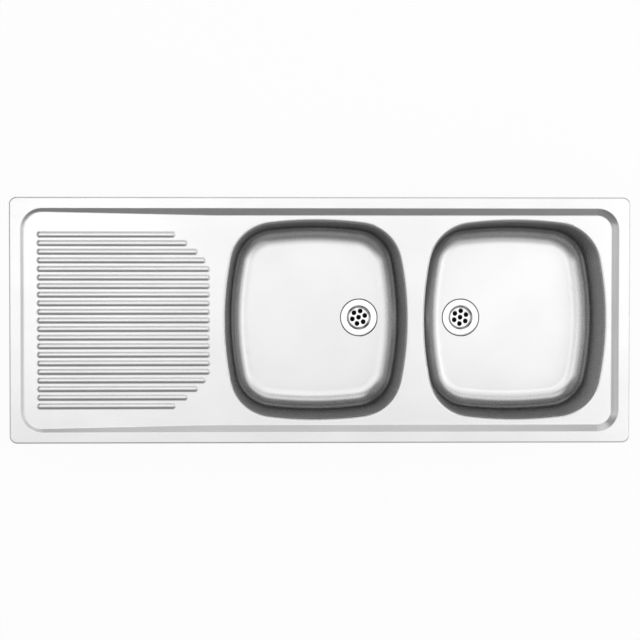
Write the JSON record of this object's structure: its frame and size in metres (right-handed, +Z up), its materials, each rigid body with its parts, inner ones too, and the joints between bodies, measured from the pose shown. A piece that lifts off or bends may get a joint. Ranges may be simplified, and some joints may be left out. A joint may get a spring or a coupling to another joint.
{
  "type": "inset kitchen sink",
  "caption": "Stainless steel inset kitchen sink with a ribbed drainer beside drawn bowls, each with a grid waste, and swinging clips that clamp it to a worktop.",
  "frame": {"origin": "middle of the rim seal's underside, in the plane of the worktop's top", "axes": "+X from the drainer towards the bowls, +Y to the back, +Z up"},
  "size_m": [1.16, 0.46, 0.234],
  "materials": {
    "deck_steel": "linished stainless steel",
    "bowl_steel": "satin drawn stainless steel",
    "waste_steel": "polished stainless steel",
    "plated_steel": "bright zinc plate",
    "seal_foam": "closed-cell foam",
    "pad_bitumen": "matt bitumen sheet",
    "gasket_rubber": "matt black rubber",
    "nut_plastic": "moulded, off-white"
  },
  "bodies": {
    "sink": {"deck_panel": "deck_steel", "left_bowl": "bowl_steel", "right_bowl": "bowl_steel", "rim_seal": "seal_foam", "clip_brackets": "plated_steel", "weld_nuts": "plated_steel", "left_sound_pad": "pad_bitumen", "left_waste_body": "waste_steel", "left_flange_gasket": "gasket_rubber", "left_sealing_washer": "gasket_rubber", "left_slip_washer": "nut_plastic", "left_backnut": "nut_plastic", "right_sound_pad": "pad_bitumen", "right_waste_body": "waste_steel", "right_flange_gasket": "gasket_rubber", "right_sealing_washer": "gasket_rubber", "right_slip_washer": "nut_plastic", "right_backnut": "nut_plastic"},
    "washer_rear_1": {"clip_washer_rear_1": "plated_steel"},
    "claw_rear_1": {"clip_claw_rear_1": "plated_steel"},
    "screw_rear_1": {"clip_screw_rear_1": "plated_steel"},
    "washer_front_1": {"clip_washer_front_1": "plated_steel"},
    "claw_front_1": {"clip_claw_front_1": "plated_steel"},
    "screw_front_1": {"clip_screw_front_1": "plated_steel"},
    "washer_rear_2": {"clip_washer_rear_2": "plated_steel"},
    "claw_rear_2": {"clip_claw_rear_2": "plated_steel"},
    "screw_rear_2": {"clip_screw_rear_2": "plated_steel"},
    "washer_front_2": {"clip_washer_front_2": "plated_steel"},
    "claw_front_2": {"clip_claw_front_2": "plated_steel"},
    "screw_front_2": {"clip_screw_front_2": "plated_steel"},
    "washer_rear_3": {"clip_washer_rear_3": "plated_steel"},
    "claw_rear_3": {"clip_claw_rear_3": "plated_steel"},
    "screw_rear_3": {"clip_screw_rear_3": "plated_steel"},
    "washer_front_3": {"clip_washer_front_3": "plated_steel"},
    "claw_front_3": {"clip_claw_front_3": "plated_steel"},
    "screw_front_3": {"clip_screw_front_3": "plated_steel"},
    "washer_rear_4": {"clip_washer_rear_4": "plated_steel"},
    "claw_rear_4": {"clip_claw_rear_4": "plated_steel"},
    "screw_rear_4": {"clip_screw_rear_4": "plated_steel"},
    "washer_front_4": {"clip_washer_front_4": "plated_steel"},
    "claw_front_4": {"clip_claw_front_4": "plated_steel"},
    "screw_front_4": {"clip_screw_front_4": "plated_steel"},
    "washer_left": {"clip_washer_left": "plated_steel"},
    "claw_left": {"clip_claw_left": "plated_steel"},
    "screw_left": {"clip_screw_left": "plated_steel"},
    "washer_right": {"clip_washer_right": "plated_steel"},
    "claw_right": {"clip_claw_right": "plated_steel"},
    "screw_right": {"clip_screw_right": "plated_steel"}
  },
  "joints": [
    {"name": "lift_rear_1", "type": "slide", "parent": "sink", "child": "washer_rear_1", "axis": [0, 0, 1], "range_m": [0, 0.012]},
    {"name": "swing_rear_1", "type": "hinge", "parent": "washer_rear_1", "child": "claw_rear_1", "pos_m": [-0.435, 0.206, -0.05], "axis": [0, 0, 1], "range_deg": [0, 90]},
    {"name": "turn_rear_1", "type": "hinge", "parent": "washer_rear_1", "child": "screw_rear_1", "pos_m": [-0.435, 0.206, -0.04], "axis": [0, 0, 1], "range_deg": [0, 4320]},
    {"name": "lift_front_1", "type": "slide", "parent": "sink", "child": "washer_front_1", "axis": [0, 0, 1], "range_m": [0, 0.012]},
    {"name": "swing_front_1", "type": "hinge", "parent": "washer_front_1", "child": "claw_front_1", "pos_m": [-0.435, -0.206, -0.05], "axis": [0, 0, 1], "range_deg": [0, 90]},
    {"name": "turn_front_1", "type": "hinge", "parent": "washer_front_1", "child": "screw_front_1", "pos_m": [-0.435, -0.206, -0.04], "axis": [0, 0, 1], "range_deg": [0, 4320]},
    {"name": "lift_rear_2", "type": "slide", "parent": "sink", "child": "washer_rear_2", "axis": [0, 0, 1], "range_m": [0, 0.012]},
    {"name": "swing_rear_2", "type": "hinge", "parent": "washer_rear_2", "child": "claw_rear_2", "pos_m": [-0.145, 0.206, -0.05], "axis": [0, 0, 1], "range_deg": [0, 90]},
    {"name": "turn_rear_2", "type": "hinge", "parent": "washer_rear_2", "child": "screw_rear_2", "pos_m": [-0.145, 0.206, -0.04], "axis": [0, 0, 1], "range_deg": [0, 4320]},
    {"name": "lift_front_2", "type": "slide", "parent": "sink", "child": "washer_front_2", "axis": [0, 0, 1], "range_m": [0, 0.012]},
    {"name": "swing_front_2", "type": "hinge", "parent": "washer_front_2", "child": "claw_front_2", "pos_m": [-0.145, -0.206, -0.05], "axis": [0, 0, 1], "range_deg": [0, 90]},
    {"name": "turn_front_2", "type": "hinge", "parent": "washer_front_2", "child": "screw_front_2", "pos_m": [-0.145, -0.206, -0.04], "axis": [0, 0, 1], "range_deg": [0, 4320]},
    {"name": "lift_rear_3", "type": "slide", "parent": "sink", "child": "washer_rear_3", "axis": [0, 0, 1], "range_m": [0, 0.012]},
    {"name": "swing_rear_3", "type": "hinge", "parent": "washer_rear_3", "child": "claw_rear_3", "pos_m": [0.145, 0.206, -0.05], "axis": [0, 0, 1], "range_deg": [0, 90]},
    {"name": "turn_rear_3", "type": "hinge", "parent": "washer_rear_3", "child": "screw_rear_3", "pos_m": [0.145, 0.206, -0.04], "axis": [0, 0, 1], "range_deg": [0, 4320]},
    {"name": "lift_front_3", "type": "slide", "parent": "sink", "child": "washer_front_3", "axis": [0, 0, 1], "range_m": [0, 0.012]},
    {"name": "swing_front_3", "type": "hinge", "parent": "washer_front_3", "child": "claw_front_3", "pos_m": [0.145, -0.206, -0.05], "axis": [0, 0, 1], "range_deg": [0, 90]},
    {"name": "turn_front_3", "type": "hinge", "parent": "washer_front_3", "child": "screw_front_3", "pos_m": [0.145, -0.206, -0.04], "axis": [0, 0, 1], "range_deg": [0, 4320]},
    {"name": "lift_rear_4", "type": "slide", "parent": "sink", "child": "washer_rear_4", "axis": [0, 0, 1], "range_m": [0, 0.012]},
    {"name": "swing_rear_4", "type": "hinge", "parent": "washer_rear_4", "child": "claw_rear_4", "pos_m": [0.435, 0.206, -0.05], "axis": [0, 0, 1], "range_deg": [0, 90]},
    {"name": "turn_rear_4", "type": "hinge", "parent": "washer_rear_4", "child": "screw_rear_4", "pos_m": [0.435, 0.206, -0.04], "axis": [0, 0, 1], "range_deg": [0, 4320]},
    {"name": "lift_front_4", "type": "slide", "parent": "sink", "child": "washer_front_4", "axis": [0, 0, 1], "range_m": [0, 0.012]},
    {"name": "swing_front_4", "type": "hinge", "parent": "washer_front_4", "child": "claw_front_4", "pos_m": [0.435, -0.206, -0.05], "axis": [0, 0, 1], "range_deg": [0, 90]},
    {"name": "turn_front_4", "type": "hinge", "parent": "washer_front_4", "child": "screw_front_4", "pos_m": [0.435, -0.206, -0.04], "axis": [0, 0, 1], "range_deg": [0, 4320]},
    {"name": "lift_left", "type": "slide", "parent": "sink", "child": "washer_left", "axis": [0, 0, 1], "range_m": [0, 0.012]},
    {"name": "swing_left", "type": "hinge", "parent": "washer_left", "child": "claw_left", "pos_m": [-0.556, 0, -0.05], "axis": [0, 0, 1], "range_deg": [0, 90]},
    {"name": "turn_left", "type": "hinge", "parent": "washer_left", "child": "screw_left", "pos_m": [-0.556, 0, -0.04], "axis": [0, 0, 1], "range_deg": [0, 4320]},
    {"name": "lift_right", "type": "slide", "parent": "sink", "child": "washer_right", "axis": [0, 0, 1], "range_m": [0, 0.012]},
    {"name": "swing_right", "type": "hinge", "parent": "washer_right", "child": "claw_right", "pos_m": [0.556, 0, -0.05], "axis": [0, 0, 1], "range_deg": [0, 90]},
    {"name": "turn_right", "type": "hinge", "parent": "washer_right", "child": "screw_right", "pos_m": [0.556, 0, -0.04], "axis": [0, 0, 1], "range_deg": [0, 4320]}
  ],
  "couplings": [
    {"joint": "turn_rear_1", "follows": "lift_rear_1", "rad_per_m": 6283.2},
    {"joint": "turn_front_1", "follows": "lift_front_1", "rad_per_m": 6283.2},
    {"joint": "turn_rear_2", "follows": "lift_rear_2", "rad_per_m": 6283.2},
    {"joint": "turn_front_2", "follows": "lift_front_2", "rad_per_m": 6283.2},
    {"joint": "turn_rear_3", "follows": "lift_rear_3", "rad_per_m": 6283.2},
    {"joint": "turn_front_3", "follows": "lift_front_3", "rad_per_m": 6283.2},
    {"joint": "turn_rear_4", "follows": "lift_rear_4", "rad_per_m": 6283.2},
    {"joint": "turn_front_4", "follows": "lift_front_4", "rad_per_m": 6283.2},
    {"joint": "turn_left", "follows": "lift_left", "rad_per_m": 6283.2},
    {"joint": "turn_right", "follows": "lift_right", "rad_per_m": 6283.2}
  ]
}
